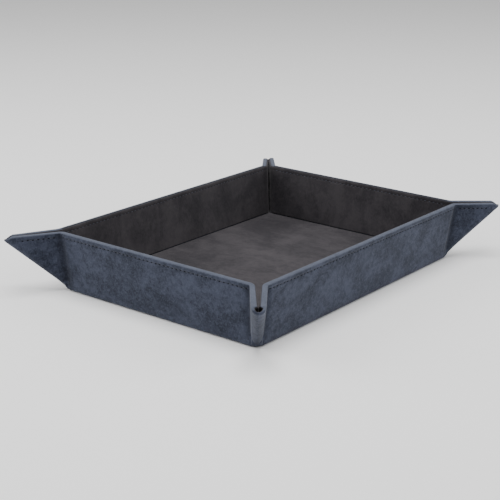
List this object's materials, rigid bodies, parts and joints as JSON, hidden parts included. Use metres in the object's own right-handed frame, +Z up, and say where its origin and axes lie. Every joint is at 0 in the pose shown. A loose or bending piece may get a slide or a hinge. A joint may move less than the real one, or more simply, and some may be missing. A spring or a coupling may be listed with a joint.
{
  "type": "folding dice tray",
  "caption": "Rectangular fold-flat dice tray of suede-covered board, with low leaning walls and pinched double ears at its corners held shut by hidden magnets.",
  "frame": {"origin": "middle of the underside of the floor, on the surface that the tray stands on", "axes": "+X along the tray's long side, +Y across it, +Z up; front wall at -Y, right wall at +X"},
  "size_m": [0.2728, 0.2048, 0.0401],
  "materials": {
    "cover_suede": "navy suede-finish imitation leather, mottled nap, matte",
    "lining_suede": "charcoal brushed velvet lining, directional nap, matte",
    "grey_board": "plain grey binder's board",
    "magnet": "nickel-plated disc magnet",
    "rim_thread": "navy bonded polyester sewing thread"
  },
  "bodies": {
    "floor": {"floor_cover": "cover_suede", "floor_board": "grey_board", "floor_lining": "lining_suede"},
    "front_wall": {"front_wall_cover": "cover_suede", "front_wall_board": "grey_board", "front_wall_lining": "lining_suede", "front_wall_thread": "rim_thread"},
    "right_wall": {"right_wall_cover": "cover_suede", "right_wall_board": "grey_board", "right_wall_lining": "lining_suede", "right_wall_thread": "rim_thread"},
    "back_wall": {"back_wall_cover": "cover_suede", "back_wall_board": "grey_board", "back_wall_lining": "lining_suede", "back_wall_thread": "rim_thread"},
    "left_wall": {"left_wall_cover": "cover_suede", "left_wall_board": "grey_board", "left_wall_lining": "lining_suede", "left_wall_thread": "rim_thread"},
    "front_left_ear": {"front_left_ear_cover": "cover_suede", "front_left_ear_board": "grey_board", "front_left_ear_lining": "lining_suede", "front_left_ear_thread": "rim_thread", "front_left_ear_magnet": "magnet"},
    "front_right_ear": {"front_right_ear_cover": "cover_suede", "front_right_ear_board": "grey_board", "front_right_ear_lining": "lining_suede", "front_right_ear_thread": "rim_thread", "front_right_ear_magnet": "magnet"},
    "right_front_ear": {"right_front_ear_cover": "cover_suede", "right_front_ear_board": "grey_board", "right_front_ear_lining": "lining_suede", "right_front_ear_thread": "rim_thread", "right_front_ear_magnet": "magnet"},
    "right_back_ear": {"right_back_ear_cover": "cover_suede", "right_back_ear_board": "grey_board", "right_back_ear_lining": "lining_suede", "right_back_ear_thread": "rim_thread", "right_back_ear_magnet": "magnet"},
    "back_right_ear": {"back_right_ear_cover": "cover_suede", "back_right_ear_board": "grey_board", "back_right_ear_lining": "lining_suede", "back_right_ear_thread": "rim_thread", "back_right_ear_magnet": "magnet"},
    "back_left_ear": {"back_left_ear_cover": "cover_suede", "back_left_ear_board": "grey_board", "back_left_ear_lining": "lining_suede", "back_left_ear_thread": "rim_thread", "back_left_ear_magnet": "magnet"},
    "left_back_ear": {"left_back_ear_cover": "cover_suede", "left_back_ear_board": "grey_board", "left_back_ear_lining": "lining_suede", "left_back_ear_thread": "rim_thread", "left_back_ear_magnet": "magnet"},
    "left_front_ear": {"left_front_ear_cover": "cover_suede", "left_front_ear_board": "grey_board", "left_front_ear_lining": "lining_suede", "left_front_ear_thread": "rim_thread", "left_front_ear_magnet": "magnet"}
  },
  "joints": [
    {"name": "front_wall_fold", "type": "hinge", "parent": "floor", "child": "front_wall", "pos_m": [0, -0.077, 0.0038], "axis": [1, 0, 0], "range_deg": [0, 83]},
    {"name": "right_wall_fold", "type": "hinge", "parent": "floor", "child": "right_wall", "pos_m": [0.106, 0, 0.0038], "axis": [0, 1, 0], "range_deg": [0, 84.5]},
    {"name": "back_wall_fold", "type": "hinge", "parent": "floor", "child": "back_wall", "pos_m": [0, 0.077, 0.0038], "axis": [-1, 0, 0], "range_deg": [0, 83]},
    {"name": "left_wall_fold", "type": "hinge", "parent": "floor", "child": "left_wall", "pos_m": [-0.106, 0, 0.0038], "axis": [0, -1, 0], "range_deg": [0, 84.5]},
    {"name": "front_left_ear_fold", "type": "hinge", "parent": "front_wall", "child": "front_left_ear", "pos_m": [-0.1041, -0.08077, 0.00334], "axis": [0.0778, 0.1215, -0.9895], "range_deg": [0, 36.4]},
    {"name": "front_right_ear_fold", "type": "hinge", "parent": "front_wall", "child": "front_right_ear", "pos_m": [0.1041, -0.08077, 0.00334], "axis": [0.0778, -0.1215, 0.9895], "range_deg": [0, 36.4]},
    {"name": "right_front_ear_fold", "type": "hinge", "parent": "right_wall", "child": "right_front_ear", "pos_m": [0.10978, -0.07465, 0.00344], "axis": [-0.0957, 0.0615, -0.9935], "range_deg": [0, 50]},
    {"name": "right_back_ear_fold", "type": "hinge", "parent": "right_wall", "child": "right_back_ear", "pos_m": [0.10978, 0.07465, 0.00344], "axis": [0.0957, 0.0615, 0.9935], "range_deg": [0, 50]},
    {"name": "back_right_ear_fold", "type": "hinge", "parent": "back_wall", "child": "back_right_ear", "pos_m": [0.1041, 0.08077, 0.00334], "axis": [-0.0778, -0.1215, -0.9895], "range_deg": [0, 36.4]},
    {"name": "back_left_ear_fold", "type": "hinge", "parent": "back_wall", "child": "back_left_ear", "pos_m": [-0.1041, 0.08077, 0.00334], "axis": [-0.0778, 0.1215, 0.9895], "range_deg": [0, 36.4]},
    {"name": "left_back_ear_fold", "type": "hinge", "parent": "left_wall", "child": "left_back_ear", "pos_m": [-0.10978, 0.07465, 0.00344], "axis": [0.0957, -0.0615, -0.9935], "range_deg": [0, 50]},
    {"name": "left_front_ear_fold", "type": "hinge", "parent": "left_wall", "child": "left_front_ear", "pos_m": [-0.10978, -0.07465, 0.00344], "axis": [-0.0957, -0.0615, 0.9935], "range_deg": [0, 50]}
  ],
  "couplings": [
    {"joint": "right_wall_fold", "follows": "front_wall_fold", "ratio": 1.0181},
    {"joint": "back_wall_fold", "follows": "front_wall_fold", "ratio": 1},
    {"joint": "left_wall_fold", "follows": "front_wall_fold", "ratio": 1.0181},
    {"joint": "front_left_ear_fold", "follows": "front_wall_fold", "ratio": 0.43855},
    {"joint": "front_right_ear_fold", "follows": "front_wall_fold", "ratio": 0.43855},
    {"joint": "right_front_ear_fold", "follows": "front_wall_fold", "ratio": 0.60241},
    {"joint": "right_back_ear_fold", "follows": "front_wall_fold", "ratio": 0.60241},
    {"joint": "back_right_ear_fold", "follows": "front_wall_fold", "ratio": 0.43855},
    {"joint": "back_left_ear_fold", "follows": "front_wall_fold", "ratio": 0.43855},
    {"joint": "left_back_ear_fold", "follows": "front_wall_fold", "ratio": 0.60241},
    {"joint": "left_front_ear_fold", "follows": "front_wall_fold", "ratio": 0.60241}
  ]
}
